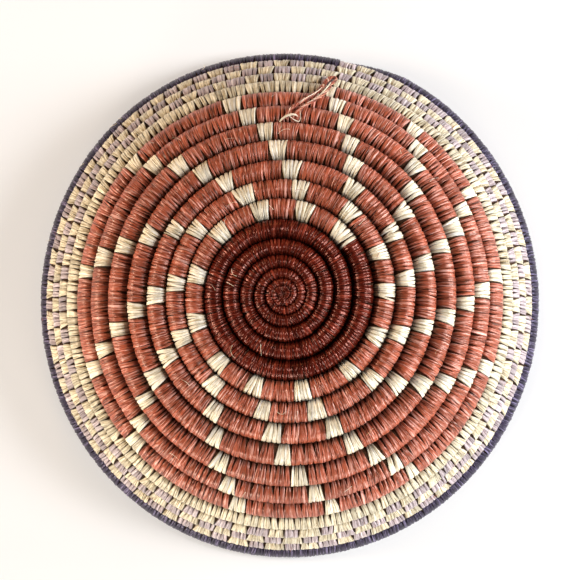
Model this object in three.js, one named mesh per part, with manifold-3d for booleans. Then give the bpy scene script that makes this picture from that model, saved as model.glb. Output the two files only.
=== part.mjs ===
// Coiled raffia basket, turned over so that it rests on its rim with its back upwards.
// A bundle of grass runs as one unbroken spiral from the centre of the back to the rim, and
// coloured raffia is wrapped round it, one sleeve for each round. A twisted raffia loop for
// hanging swings under a stitch on the back. Millimetres and degrees, +Z up, rim on z = 0.
import * as THREE from "three";
import { mergeVertices } from "three/addons/utils/BufferGeometryUtils.js";
import Module from "manifold-3d";

// Driving dimensions of the coil
const turns = 18;
const coilPitch = 11.9;
const coilThickness = 9.8;
const coilGap = 0.65;
const startRadius = 2.8;
const startPitch = 2;
const pitchGrowth = 1.76;
const startThickness = 3.8;
const startTurn = 0.5;

// Rounds of each colour between the purple rim and the maroon centre
const checkerRounds = ["outer", "middle", "inner"];
const redRounds = 7;

// Driving dimensions of the bowl's wall, from the centre of the back to the rim
const crownRadius = 58;
const crownLean = 9.5;
const shoulderRadius = 98;
const wallLean = 65;
const ovality = 0.01;

// The maker levels the rim: the outer rounds take their step down in one arc after the seam
const seamAngle = 77.5;
const levelFromTurn = 9;
const levelArc = 60;
const restCut = 0.5;

// Last stretch of the rim, where the bundle thins out and ends
const taperArc = 15;
const taperEnd = 0.4;

// Raffia wrapping and what it holds
const wrapThickness = 1.2;
const thinWrapShare = 0.35;
const innerClearance = 0.35;
const shoulderShare = 0.45;
const keelShare = 0.56;
const sleeveGap = 0.3;
const strandHalfWidth = 1.1;
const maroonEndsEarly = 40.3;

// Hanging loop and the stitch that holds it
const loopTurn = 10;
const loopAngle = 89.5;
const loopDrop = 41.5;
const loopSkew = 23;
const loopBow = 4.4;
const loopCordDiameter = 2.4;
const loopFootSpacing = 7.6;
const loopTipSpacing = 3.6;
const loopClimb = 3.6;
const loopClearance = 0.5;
const stitchClearance = 0.45;
const stitchThickness = 0.9;
const stitchWidth = 2.4;
const seatGap = 0.3;

// Centre knot. Its side is fuller than a ball's where the fullness is under 1.
const knotClearance = 0.4;
const knotRise = 0.5;
const knotFullness = 0.6;

// Facets
const stepsPerTurn = 24;
const loopSides = 8;
const loopLegSteps = 11;
const loopTipSteps = 4;
const stitchArcSteps = 8;
const knotSides = 16;

// Shares of a facet's length: one that counts as nothing, and the shortest that is made
const noShare = 1e-6;
const shortestShare = 1e-3;

const degree = Math.PI / 180;
const clamp01 = (x) => Math.min(1, Math.max(0, x));
const mix = (a, b, t) => a + (b - a) * t;
const ease = (x) => x * x * (3 - 2 * x);

// Distance along the wall from the axis to the spiral's middle line, before levelling.
function spiral(turn) {
  const fullTurn = (coilPitch - startPitch) / pitchGrowth;
  const t = Math.min(turn, fullTurn);
  const grown = startRadius + startPitch * t + (pitchGrowth * t * t) / 2;
  return grown + coilPitch * Math.max(0, turn - fullTurn);
}

// The spiral with the rim levelled: a uniform step inwards, one short step near the rim.
function levelled(turn) {
  const whole = Math.floor(turn);
  const part = turn - whole;
  const share = clamp01((turn - levelFromTurn) / (turns - 1 - levelFromTurn));
  const stepped = ease(clamp01((part * 360) / levelArc));
  return spiral(whole + mix(part, stepped, share));
}

// Distance along the wall to the groove between this round and the next.
function groove(turn) {
  const next = turn < turns - 1 ? levelled(turn + 1) : levelled(turn) + coilPitch;
  return (levelled(turn) + next) / 2;
}

// Point of the wall's middle surface in the plane through the axis, and its slope.
function meridian(distance) {
  const lean0 = crownLean * degree;
  const lean1 = wallLean * degree;
  const shoulderLength = shoulderRadius * (lean1 - lean0);
  const crown = Math.min(distance, crownRadius);
  const bend = Math.min(Math.max(distance - crownRadius, 0), shoulderLength);
  const straight = Math.max(0, distance - crownRadius - shoulderLength);
  const lean = lean0 + bend / shoulderRadius;
  return {
    radius:
      crown * Math.cos(lean0) +
      shoulderRadius * (Math.sin(lean) - Math.sin(lean0)) +
      straight * Math.cos(lean1),
    drop:
      crown * Math.sin(lean0) +
      shoulderRadius * (Math.cos(lean0) - Math.cos(lean)) +
      straight * Math.sin(lean1),
    lean,
  };
}

// A point given by its distance along the wall, its angle round the axis, and its
// offset along the wall and out of the wall. The bowl is a little longer along Y.
function wallPoint(distance, angle, along, out) {
  const at = meridian(distance);
  const radius = at.radius + along * Math.cos(at.lean) + out * Math.sin(at.lean);
  const z = -at.drop - along * Math.sin(at.lean) + out * Math.cos(at.lean);
  const x = radius * Math.cos(angle * degree) * (1 - ovality);
  const y = radius * Math.sin(angle * degree) * (1 + ovality);
  return new THREE.Vector3(x, y, z);
}

// Middle, half width and half thickness of the wrapped coil at a turn.
function coilSection(turn) {
  const inner = groove(turn - 1) + coilGap / 2;
  const outer = groove(turn) - coilGap / 2;
  const taper = mix(taperEnd, 1, clamp01(((turns - turn) * 360) / taperArc));
  const halfWidth = ((outer - inner) / 2) * taper;
  const pitch = outer - inner + coilGap;
  const full = Math.max(startThickness, (coilThickness * pitch) / coilPitch);
  return {
    middle: inner + halfWidth,
    halfWidth,
    halfThickness: (Math.min(full, coilThickness) / 2) * taper,
    angle: seamAngle + turn * 360,
  };
}

// Six corners of a rounded section. The keel is the side towards the bowl's hollow.
function hexagon(section, halfWidth, crest, keel) {
  const corners = [
    [halfWidth, shoulderShare * crest],
    [0, crest],
    [-halfWidth, shoulderShare * crest],
    [-halfWidth, -shoulderShare * keel],
    [0, -keel],
    [halfWidth, -shoulderShare * keel],
  ];
  return corners.map(([along, out]) => wallPoint(section.middle, section.angle, along, out));
}

const wallOf = (section) => Math.min(wrapThickness, thinWrapShare * section.halfWidth);

const rings = {
  wrapOutside: (section) =>
    hexagon(section, section.halfWidth, section.halfThickness, section.halfThickness),
  wrapInside(section) {
    const wall = wallOf(section);
    const half = section.halfThickness - wall;
    return hexagon(section, section.halfWidth - wall, half, half);
  },
  foundation(section) {
    const inset = wallOf(section) + innerClearance;
    const half = section.halfThickness - inset;
    return hexagon(section, section.halfWidth - inset, half, half * keelShare);
  },
  strand(section) {
    const inset = wallOf(section) + innerClearance;
    const half = section.halfThickness - inset;
    const top = half * keelShare + innerClearance;
    const corners = [
      [strandHalfWidth, -top],
      [-strandHalfWidth, -top],
      [0, -half],
    ];
    return corners.map(([along, out]) => wallPoint(section.middle, section.angle, along, out));
  },
};

// A ring between two stations lies on the straight facets that join them.
function ringAt(kind, turn) {
  const before = Math.floor(turn * stepsPerTurn + noShare) / stepsPerTurn;
  const share = (turn - before) * stepsPerTurn;
  const first = rings[kind](coilSection(before));
  if (share < noShare) return first;
  const second = rings[kind](coilSection(Math.min(before + 1 / stepsPerTurn, turns)));
  return first.map((point, i) => point.clone().lerp(second[i], share));
}

// Turns at which a stretch of the coil has a ring: its two ends and the stations between.
function stationsBetween(from, to) {
  const list = [from];
  const last = to * stepsPerTurn - shortestShare;
  for (let k = Math.ceil(from * stepsPerTurn + shortestShare); k < last; k++)
    list.push(k / stepsPerTurn);
  list.push(to);
  return list;
}

function geometryOf(points, faces) {
  const geometry = new THREE.BufferGeometry();
  const flat = points.flatMap((p) => [p.x, p.y, p.z]);
  geometry.setAttribute("position", new THREE.Float32BufferAttribute(flat, 3));
  geometry.setIndex(faces);
  geometry.computeVertexNormals();
  return geometry;
}

// Side faces between rings of equal corner count. The index of a ring's first corner is
// given by first(ring). Flipped faces look the other way, as inside a sleeve.
function addSides(faces, ringCount, sides, first, flipped) {
  for (let j = 0; j + 1 < ringCount; j++)
    for (let i = 0; i < sides; i++) {
      const next = (i + 1) % sides;
      const a = first(j) + i;
      const b = first(j + 1) + i;
      const c = first(j + 1) + next;
      const d = first(j) + next;
      if (flipped) faces.push(a, c, b, a, d, c);
      else faces.push(a, b, c, a, c, d);
    }
}

// One unbroken solid tube along the coil.
function coilTube(kind, from, to) {
  const loops = stationsBetween(from, to).map((turn) => ringAt(kind, turn));
  const sides = loops[0].length;
  const faces = [];
  addSides(faces, loops.length, sides, (j) => j * sides, false);
  const last = (loops.length - 1) * sides;
  for (let i = 1; i + 1 < sides; i++) faces.push(0, i, i + 1, last, last + i + 1, last + i);
  return geometryOf(loops.flat(), faces);
}

// A sleeve round the foundation, open at both ends.
function coilSleeve(from, to) {
  const turnList = stationsBetween(from, to);
  const outside = turnList.map((turn) => ringAt("wrapOutside", turn));
  const inside = turnList.map((turn) => ringAt("wrapInside", turn));
  const sides = outside[0].length;
  const base = outside.length * sides;
  const faces = [];
  addSides(faces, outside.length, sides, (j) => j * sides, false);
  addSides(faces, inside.length, sides, (j) => base + j * sides, true);
  for (const [j, flip] of [
    [0, false],
    [outside.length - 1, true],
  ])
    for (let i = 0; i < sides; i++) {
      const next = (i + 1) % sides;
      const a = j * sides + i;
      const b = j * sides + next;
      const c = base + b;
      const d = base + a;
      if (flip) faces.push(a, c, b, a, d, c);
      else faces.push(a, b, c, a, c, d);
    }
  return geometryOf([...outside, ...inside].flat(), faces);
}

// A closed tube through a ring of points, with the given outward direction at each.
function closedTube(points, outs, radius, sides) {
  const corners = [];
  points.forEach((point, j) => {
    const after = points[(j + 1) % points.length];
    const before = points[(j + points.length - 1) % points.length];
    const tangent = after.clone().sub(before).normalize();
    const side = tangent.clone().cross(outs[j]).normalize();
    const up = side.clone().cross(tangent).normalize();
    for (let i = 0; i < sides; i++) {
      const turn = (2 * Math.PI * i) / sides;
      const offset = side.clone().multiplyScalar(radius * Math.cos(turn));
      corners.push(offset.addScaledVector(up, radius * Math.sin(turn)).add(point));
    }
  });
  const faces = [];
  const first = (j) => (j % points.length) * sides;
  addSides(faces, points.length + 1, sides, first, false);
  return geometryOf(corners, faces);
}

const wasm = await Module();
wasm.setup();

function solidOf(geometry) {
  const plain = geometry.clone();
  plain.deleteAttribute("normal");
  plain.deleteAttribute("uv");
  const merged = mergeVertices(plain, 1e-4);
  return new wasm.Manifold(
    new wasm.Mesh({
      numProp: 3,
      vertProperties: new Float32Array(merged.attributes.position.array),
      triVerts: new Uint32Array(merged.index.array),
    }),
  );
}

function geometryFrom(solid) {
  const mesh = solid.getMesh();
  const geometry = new THREE.BufferGeometry();
  const position = new Float32Array(mesh.vertProperties);
  geometry.setAttribute("position", new THREE.BufferAttribute(position, 3));
  geometry.setIndex(new THREE.BufferAttribute(new Uint32Array(mesh.triVerts), 1));
  geometry.computeVertexNormals();
  return geometry;
}

// Lowest point of the rim before its flat is cut.
function rimLowest() {
  const corners = ringAt("wrapOutside", turns - taperArc / 360);
  return Math.min(...corners.map((p) => p.z));
}

const restLevel = rimLowest() + restCut;

// Cuts a wrapping flat where the basket stands on it, with a slab wider than the basket.
function cutFlat(geometry) {
  const depth = coilThickness;
  const reach = 2 * spiral(turns);
  const slab = new THREE.BoxGeometry(2 * reach, 2 * reach, depth);
  slab.translate(0, 0, restLevel - depth / 2);
  return geometryFrom(solidOf(geometry).subtract(solidOf(slab)));
}

// Materials: colour, sheen and no metal, as dyed raffia and dry grass have
const finish = (color, roughness) =>
  new THREE.MeshStandardMaterial({ color, roughness, metalness: 0 });
const maroon = finish(0x6e1c1c, 0.5);
const red = finish(0xa85440, 0.5);
const cream = finish(0xe2d7ac, 0.5);
const lilac = finish(0xa797ae, 0.5);
const purple = finish(0x40354a, 0.45);
const straw = finish(0x8a7446, 0.8);
const twisted = finish(0xb4623f, 0.6);

const basket = new THREE.Group();

function addPiece(name, geometry, material) {
  const mesh = new THREE.Mesh(geometry, material);
  mesh.name = name;
  basket.add(mesh);
  return mesh;
}

// Foundation and centre knot
const knotRadius = groove(startTurn - 1) + coilGap / 2 - knotClearance;

function centreKnot() {
  const half = startThickness / 2 + knotRise;
  const profile = [];
  const steps = knotSides / 2;
  for (let i = 0; i <= steps; i++) {
    const a = -Math.PI / 2 + (Math.PI * i) / steps;
    const r = i % steps ? knotRadius * Math.cos(a) ** knotFullness : 0;
    profile.push(new THREE.Vector2(r, half * Math.sin(a)));
  }
  return new THREE.LatheGeometry(profile, knotSides).rotateX(Math.PI / 2);
}

addPiece("foundation_coil", coilTube("foundation", startTurn, turns), straw);
addPiece("centre_knot", centreKnot(), maroon);

// Turns at which the colours change. The red starts a little before its whole rounds.
const rimStart = turns - 1;
const checkerStart = rimStart - checkerRounds.length;
const bandStart = checkerStart - 1;
const firstRedRound = bandStart - redRounds;
const redStart = firstRedRound - maroonEndsEarly / 360;
const maroonRounds = Math.ceil(firstRedRound - startTurn);

// Wrapping, one sleeve for each round, from the rim inwards
const wraps = [{ name: "rim_wrap_purple", from: rimStart, to: turns, material: purple }];
checkerRounds.forEach((place, i) => {
  const to = rimStart - i;
  wraps.push({ name: `checker_wrap_${place}`, from: to - 1, to, material: lilac });
});
wraps.push({ name: "band_wrap_cream", from: bandStart, to: checkerStart, material: cream });
for (let i = 1; i <= redRounds; i++) {
  const to = bandStart + 1 - i;
  const from = i < redRounds ? to - 1 : redStart;
  wraps.push({ name: `red_wrap_${i}`, from, to, material: red });
}
for (let i = 1; i <= maroonRounds; i++) {
  const to = i > 1 ? firstRedRound + 1 - i : redStart;
  const from = Math.max(startTurn, firstRedRound - i);
  wraps.push({ name: `maroon_wrap_${i}`, from, to, material: maroon });
}

// Share of a turn that half the gap between two sleeves takes.
function halfGapTurn(turn) {
  const radius = meridian(coilSection(turn).middle).radius;
  return sleeveGap / 2 / (2 * Math.PI * radius);
}

for (const wrap of wraps) {
  const from = wrap.from === startTurn ? wrap.from : wrap.from + halfGapTurn(wrap.from);
  const to = wrap.to === turns ? wrap.to : wrap.to - halfGapTurn(wrap.to);
  const sleeve = coilSleeve(from, to);
  addPiece(wrap.name, wrap.to === turns ? cutFlat(sleeve) : sleeve, wrap.material);
}

// Idle strands, laid along the foundation under the stitches of the other colour
addPiece("carried_strand_cream", coilTube("strand", redStart, bandStart), cream);
addPiece("carried_strand_lilac", coilTube("strand", checkerStart, rimStart), lilac);

// Hanging loop. Its foot lies in the groove between two rounds, its legs over the rounds
// further down. Points are given by the drop along the wall and the shift round it.
const footDistance = groove(loopTurn + (loopAngle - seamAngle) / 360);
const cordRadius = loopCordDiameter / 2;
const legHeight = coilThickness / 2 + loopClearance + cordRadius;
const facetRise = ((1 - shoulderShare) * coilThickness) / (coilPitch - coilGap);
const grooveHeight = (shoulderShare * coilThickness) / 2;
const footHeight = grooveHeight + (cordRadius + stitchClearance) * Math.hypot(1, facetRise);

function loopPoint(drop, shift) {
  const distance = footDistance + drop;
  const angle = loopAngle - shift / meridian(distance).radius / degree;
  const climb = clamp01(drop / loopClimb);
  return {
    point: wallPoint(distance, angle, 0, mix(footHeight, legHeight, climb)),
    out: wallPoint(distance, angle, 0, 1).sub(wallPoint(distance, angle, 0, 0)),
  };
}

// Right leg for side 1 and left leg for side -1, share 0 at the foot and 1 at the tip.
function legPoint(share, side) {
  const half = mix(loopFootSpacing, loopTipSpacing, ease(share)) / 2;
  const length = Math.hypot(loopDrop, loopSkew);
  const cross = new THREE.Vector2(0, 1).lerp(
    new THREE.Vector2(-loopSkew / length, loopDrop / length),
    share,
  );
  cross.normalize().multiplyScalar(side * half);
  const bow = loopBow * Math.sin(Math.PI * share) ** 2;
  const drop = loopDrop * share + Math.max(cross.x, -share * half);
  return loopPoint(drop, loopSkew * share + bow + cross.y);
}

function hangingLoop() {
  const tipHalf = loopTipSpacing / 2;
  const length = Math.hypot(loopDrop, loopSkew);
  const ahead = [loopDrop / length, loopSkew / length];
  const aside = [-loopSkew / length, loopDrop / length];
  const path = [loopPoint(0, 0)];
  for (let i = 0; i < loopLegSteps; i++) path.push(legPoint(i / loopLegSteps, 1));
  for (let i = 0; i <= loopTipSteps; i++) {
    const a = Math.PI / 2 - (Math.PI * i) / loopTipSteps;
    const forward = tipHalf * Math.cos(a);
    const across = tipHalf * Math.sin(a);
    const drop = loopDrop + forward * ahead[0] + across * aside[0];
    path.push(loopPoint(drop, loopSkew + forward * ahead[1] + across * aside[1]));
  }
  for (let i = loopLegSteps - 1; i >= 0; i--) path.push(legPoint(i / loopLegSteps, -1));
  return closedTube(
    path.map((p) => p.point),
    path.map((p) => p.out),
    cordRadius,
    loopSides,
  );
}

// The stitch arches over the loop's foot, with its two feet on the rounds beside the groove.
function loopStitch() {
  const inner = cordRadius + stitchClearance;
  const outer = inner + stitchThickness;
  const seat = (along) => grooveHeight + along * facetRise + seatGap * Math.hypot(1, facetRise);
  const outline = new THREE.Shape();
  outline.moveTo(outer, seat(outer) - footHeight);
  outline.lineTo(outer, 0);
  outline.absarc(0, 0, outer, 0, Math.PI, false);
  outline.lineTo(-outer, seat(outer) - footHeight);
  outline.lineTo(-inner, seat(inner) - footHeight);
  outline.lineTo(-inner, 0);
  outline.absarc(0, 0, inner, Math.PI, 0, true);
  outline.lineTo(inner, seat(inner) - footHeight);
  outline.closePath();
  const arch = new THREE.ExtrudeGeometry(outline, {
    depth: stitchWidth,
    bevelEnabled: false,
    curveSegments: stitchArcSteps,
  });
  arch.translate(0, 0, -stitchWidth / 2);
  return arch;
}

const foot = loopPoint(0, 0);
const down = loopPoint(cordRadius, 0).point.sub(loopPoint(-cordRadius, 0).point);
const outAxis = foot.out.clone().normalize();
const footAxis = outAxis.clone().cross(down).normalize();
const downAxis = footAxis.clone().cross(outAxis).normalize();

addPiece("hanging_loop", hangingLoop(), twisted);
const stitch = addPiece("loop_stitch", loopStitch(), red);
const stitchFrame = new THREE.Matrix4().makeBasis(downAxis, outAxis, footAxis.clone().negate());
stitch.quaternion.setFromRotationMatrix(stitchFrame);
stitch.position.copy(foot.point);

// Least gap between one round of the foundation and the next, on its corners.
function leastOwnGap(from, to) {
  let least = Infinity;
  for (const turn of stationsBetween(from, to - 1)) {
    const here = ringAt("foundation", turn);
    const next = ringAt("foundation", turn + 1);
    for (const a of here) for (const b of next) least = Math.min(least, a.distanceTo(b));
  }
  return least;
}

// The origin is the middle of the rim's box, on the surface that the rim stands on.
const box = new THREE.Box3().setFromObject(basket);
const centre = box.getCenter(new THREE.Vector3());
basket.position.set(-centre.x, -centre.y, -restLevel);

const mm = (value) => value.toFixed(2);
const shown = box.getSize(new THREE.Vector3());
console.log("least gap of the foundation coil to itself", mm(leastOwnGap(startTurn, turns)), "mm");
console.log("outside", mm(shown.x), "by", mm(shown.y), "by", mm(box.max.z - restLevel), "mm");
const hinge = foot.point.clone().add(basket.position);
console.log("loop hinge at", mm(hinge.x), mm(hinge.y), mm(hinge.z), "axis", footAxis.toArray());

export default basket;
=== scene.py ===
"""Coiled raffia basket, turned over so that it stands on its rim with its back upwards.

One grass bundle runs as a spiral from the centre of the back to the rim. Raffia strips are
stitched round it one after the other, and each stitch tucks in beside the round before.
Metres, +Z up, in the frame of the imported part.
"""

import math

import bpy
import numpy as np
from bpy.props import FloatProperty, FloatVectorProperty, IntProperty, PointerProperty
from mathutils import Matrix, Vector


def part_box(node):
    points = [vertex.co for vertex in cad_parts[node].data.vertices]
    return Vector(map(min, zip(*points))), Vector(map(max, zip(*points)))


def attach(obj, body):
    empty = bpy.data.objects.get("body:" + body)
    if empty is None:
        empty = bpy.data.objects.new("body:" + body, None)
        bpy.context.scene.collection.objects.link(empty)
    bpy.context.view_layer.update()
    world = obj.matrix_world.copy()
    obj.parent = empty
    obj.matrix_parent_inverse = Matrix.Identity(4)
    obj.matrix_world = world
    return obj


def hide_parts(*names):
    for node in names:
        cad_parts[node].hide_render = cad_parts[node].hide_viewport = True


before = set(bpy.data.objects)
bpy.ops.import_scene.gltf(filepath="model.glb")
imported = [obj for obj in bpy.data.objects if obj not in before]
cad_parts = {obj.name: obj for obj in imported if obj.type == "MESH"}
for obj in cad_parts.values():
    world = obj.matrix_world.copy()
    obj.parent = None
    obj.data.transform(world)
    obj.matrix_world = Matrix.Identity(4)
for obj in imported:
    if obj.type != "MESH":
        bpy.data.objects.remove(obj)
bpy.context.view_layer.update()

bl_info = {
    "name": "Coiled raffia basket",
    "version": (1, 0, 0),
    "blender": (4, 5, 0),
    "location": "View3D > Sidebar > Basket",
    "description": "Stitches a coiled raffia bowl basket round by round",
    "category": "Add Mesh",
}

MM = 0.001
FULL_TURN = 2 * math.pi


def linear(hex_colour):
    """Scene-linear RGB of an sRGB hex colour such as "e2d7ac"."""
    channels = [int(hex_colour[i : i + 2], 16) / 255 for i in (0, 2, 4)]
    return tuple(c / 12.92 if c <= 0.04045 else ((c + 0.055) / 1.055) ** 2.4 for c in channels)


def length(name, description, millimetres):
    """Property for a size, given in millimetres and kept in metres."""
    return FloatProperty(
        name=name, description=description, default=millimetres * MM, precision=5, unit="LENGTH"
    )


def angle(name, description, degrees):
    """Property for an angle, given in degrees and kept in radians."""
    return FloatProperty(
        name=name, description=description, default=math.radians(degrees), unit="ROTATION"
    )


def number(name, description, value):
    """Property for a plain number: a share, a count of rounds or a turn of the spiral."""
    return FloatProperty(name=name, description=description, default=value, precision=4)


def dye(name, description, hex_colour):
    """Property for a colour."""
    return FloatVectorProperty(
        name=name,
        description=description,
        default=linear(hex_colour),
        size=3,
        min=0,
        max=1,
        subtype="COLOR",
    )


class BasketShape(bpy.types.PropertyGroup):
    """The spiral of the coil and the profile of the bowl's wall"""

    turns: IntProperty(name="Rounds", description="Rounds from the centre to the rim", default=18)
    pitch: length("Coil pitch", "Distance from one full round to the next", 11.9)
    thickness: length("Coil thickness", "Thickness of the coil across the wall", 9.8)
    start_radius: length("Start radius", "Where the spiral would start, from the axis", 2.8)
    start_pitch: length("Start pitch", "Pitch of the spiral at its start", 2)
    pitch_growth: length("Pitch growth", "What each round adds to the pitch", 1.76)
    start_thickness: length("Start thickness", "Thickness of the coil at its start", 3.8)
    start_turn: number("Start turn", "Turn at which the wrapped coil starts", 0.5)
    crown_radius: length("Crown radius", "Length of the nearly flat middle of the back", 58)
    crown_lean: angle("Crown lean", "Slope of the middle of the back", 9.5)
    shoulder_radius: length("Shoulder radius", "Radius of the bend into the wall", 98)
    wall_lean: angle("Wall lean", "Slope of the wall near the rim", 65)
    ovality: number("Ovality", "Share by which the bowl is longer along Y", 0.01)
    seam_angle: angle("Seam angle", "Where the last round ends, from +X", 77.5)
    level_from_turn: number("Level from", "Turn from which the rim is levelled", 9)
    level_arc: angle("Level arc", "Arc after the seam in which the rounds step out", 60)
    taper_arc: angle("Taper arc", "Length of the thin end of the rim", 15)
    taper_end: number("Taper end", "Size of the coil at its very end", 0.4)
    knot_rise: length("Knot rise", "Height of the centre knot over the coil's start", 0.5)
    press: length("Press", "How far the sewn outer rounds press into each other", 0.35)
    slack: number("Slack", "Share by which the middle rounds are narrower on the back", 0.14)
    roll: angle("Roll", "How far the middle rounds are rolled, outer side up", 12)
    rim_growth: length("Rim growth", "How much wider the last round is than the others", 1.6)
    wander: length("Wander", "How far the hand-sewn rounds stray from their line", 0.3)
    round_fullness: number("Centre fullness", "1 is a round coil, less is squarer", 1.22)
    wall_fullness: number("Wall fullness", "The same for the outer rounds", 0.86)
    inside_fullness: number("Inside fullness", "The same for the inside of the bowl", 0.7)
    middle_end: number("Middle end", "Turn at which the back starts to bend into the wall", 8)


class BasketStitches(bpy.types.PropertyGroup):
    """The raffia stitches and the blocks of colour that they make"""

    maroon_spacing: length("Maroon spacing", "Width of a maroon stitch", 1.55)
    red_spacing: length("Red spacing", "Width of a red stitch", 2.55)
    band_spacing: length("Cream spacing", "Width of a stitch of the plain cream round", 3.1)
    checker_spacing: length("Checker spacing", "Width of a checker stitch", 2.45)
    rim_spacing: length("Rim spacing", "Width of a stitch of the purple rim", 2.2)
    red_start: number("Red start", "Turn at which the maroon changes to red", 5.888)
    band_start: number("Cream start", "Turn at which the red changes to cream", 13.01)
    checker_start: number("Checker start", "Turn at which the checker starts", 14)
    rim_start: number("Rim start", "Turn at which the purple rim starts", 17)
    arm_width: length("Block width", "Width of a cream block in the red rounds", 9.4)
    arm_arch: angle("Arm arch", "How far the arms of blocks swing out at their middle", 2)
    checker_periods: number("Checker pairs", "Cream and lilac pairs in one round", 44.5)
    checker_swell: number("Checker swell", "Pairs by which the checker runs ahead", 0.6)
    loose_side: angle("Loose side", "Side on which the red stitches stand apart", 285)
    top_side: angle("Second loose side", "The other such side", 75)
    looseness: number("Looseness", "How much wider the red stitches are there", 0.15)
    inner_finer: number("Finer middle", "Width of the innermost red stitches to the outer", 0.72)
    finger_rise: length("Finger rise", "Height of a strip where it is gathered", 0.6)
    flat_rise: length("Flat rise", "Height of a strip where it lies flat", 0.34)
    edge_rise: length("Edge rise", "Added height of a strip where it bends over the edge", 0.45)
    lap: length("Lap", "How far one edge of a strip stands over its neighbour", 0.1)
    core_inset: length("Core inset", "Depth of the grass under the stitches", 0.8)
    # Painted light: the next four brightnesses paint shade into the strips' colour where it falls:
    # in the grooves, on the inner half of each strip (more on the maroon) and along the edges
    # between strips. An inner brightness above 1 paints a slight highlight there instead
    groove_shade: number("Groove shade", "Brightness of a strip where it enters the groove", 0.12)
    inner_shade: number("Inner shade", "Brightness of the folded inner half of a strip", 1.05)
    maroon_shade: number("Maroon shade", "The same for the maroon strips, which are tighter", 0.6)
    edge_shade: number("Edge shade", "Brightness of a strip along its edges", 0.68)
    tuck: length("Tuck", "How far a stitch reaches in under the round before", 1.2)
    lean: angle("Lean", "Mean lean of the stitches", -3)


class BasketLoop(bpy.types.PropertyGroup):
    """The hanging loop of twisted raffia, its stitch, and the loose fibres"""

    turn: number("Loop turn", "Round of the coil that carries the loop", 10)
    azimuth: angle("Loop angle", "Where the loop is stitched on, from +X", 89.5)
    drop: length("Loop drop", "Length of the loop down the wall", 40)
    skew: length("Loop skew", "How far the loop leans to the right", 25.5)
    bow: length("Loop bow", "How far the legs bow to the right at their middle", 4.4)
    foot_spacing: length("Foot spacing", "Distance between the legs at the stitch", 4.2)
    tip_spacing: length("Tip spacing", "Distance between the legs at the tip", 3.6)
    foot_height: length("Foot height", "Height of the feet over the wall's middle", 4.1)
    leg_height: length("Leg height", "Height of the legs over the wall's middle", 6.6)
    climb: length("Climb", "Length over which the legs climb out of the groove", 3.6)
    ply: length("Ply", "Thickness of one twisted ply", 1.3)
    lay: length("Lay", "Length of one full twist", 9)
    fibres: IntProperty(name="Loose fibres", description="Number of stray fibres", default=150)


class BasketDyes(bpy.types.PropertyGroup):
    """Colours of the raffia and of the grass"""

    maroon: dye("Maroon", "Raffia round the centre", "551509")
    red: dye("Red", "Raffia of the seven rounds with cream blocks", "ac5439")
    cream: dye("Cream", "Undyed raffia", "faedd0")
    border: dye("Border", "Undyed raffia of the outer rounds", "e2d5b5")
    lilac: dye("Lilac", "Raffia of the checker rounds", "b8a7a8")
    purple: dye("Purple", "Raffia of the rim", "22172c")
    loop: dye("Loop", "Raffia of the hanging loop", "94402c")
    faded: dye("Faded", "The paler strand of the hanging loop", "d8a488")
    grass: dye("Grass", "Foundation bundle", "47290f")


class BasketStage(bpy.types.PropertyGroup):
    """Camera, lamps and floor"""

    lens: FloatProperty(
        name="Lens", description="Focal length of the camera", default=103.6, unit="CAMERA"
    )
    eye: FloatVectorProperty(
        name="Eye",
        description="Place of the camera, from the basket's axis on the floor",
        default=(0.0334, -0.0489, 1.0),
        subtype="TRANSLATION",
    )
    aim: FloatVectorProperty(
        name="Aim",
        description="Point of the floor that the camera looks at, from the basket's axis",
        default=(-0.0001, 0.008, 0.0),
        subtype="TRANSLATION",
    )
    lamp_distance: length("Lamp distance", "Distance of the lamps from the basket", 1500)
    lamp_size: length("Lamp size", "Side of a square lamp", 420)
    floor_side: length("Floor side", "Side of the square floor", 6000)
    lamp_power: FloatProperty(
        name="Lamp power", description="Power of all the lamps together", default=79, unit="POWER"
    )
    sky: number("Sky", "Strength of the even light from all round", 0.07)
    floor: dye("Floor", "Colour of the table top", "fbf9f5")
    floor_glow: number("Floor glow", "Share of plain white in the floor that the eye sees", 0.36)


# The thirteen arms of cream blocks: azimuth at the middle red round, and how far each
# turns in one round, both in degrees
ARM_TURN = 9.5
ARMS = (
    (15, 4.9),
    (37, 4.9),
    (64, 4.6),
    (94, 4.9),
    (125.5, 5.5),
    (157, 5.9),
    (185.5, 5.1),
    (211, 4.3),
    (242, 5.2),
    (268, 5.0),
    (293.5, 4.5),
    (325.5, 5.2),
    (350.5, 5.2),
)

# The lamps stand low, like windows on the left, the near and the right side: azimuth and
# height over the floor in degrees, share of the power, and colour. The left and the far
# ones are warm, the right ones cool
LAMPS = (
    (175, 22, 0.23, "ffecd8"),
    (-125, 9, 0.17, "fff6ea"),
    (-60, 9, 0.1, "ffffff"),
    (8, 12, 0.22, "f6faff"),
    (0, 42, 0.24, "f6f8ff"),
    (100, 24, 0.04, "ffc48c"),
)

# Hand-made drift of the rounds: distance along the wall, shift of the round to +X and +Y,
# and change of its radius, all in millimetres
DRIFT = (
    (6, 0, 0, 0),
    (14, -1.0, 0, 0.2),
    (30, -0.8, 0, 0.2),
    (50, 0, 0, 0),
    (70, 0.9, -0.3, -1.1),
    (105, 0.8, -0.8, 0),
    (145, 0.3, -0.8, -0.4),
    (178, -0.8, 1.0, -0.3),
)

# Where the knot stands: the axis of the basket and the top of its wall
knot_low, knot_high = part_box("centre_knot")
AXIS = ((knot_low + knot_high) / 2).xy


def clamp01(value):
    return np.clip(value, 0.0, 1.0)


def mix(a, b, t):
    return a + (b - a) * t


def ease(t):
    """Smooth step from 0 to 1."""
    t = clamp01(t)
    return t * t * (3 - 2 * t)


def bell(value, middle, reach):
    """1 at the middle, and next to nothing at twice the reach from it."""
    return np.exp(-(((value - middle) / reach) ** 2))


def past_middle(shape, turn, rounds):
    """0 in the middle of the back, rising to 1 over so many rounds outside it."""
    return ease((turn - shape.middle_end) / rounds)


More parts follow.
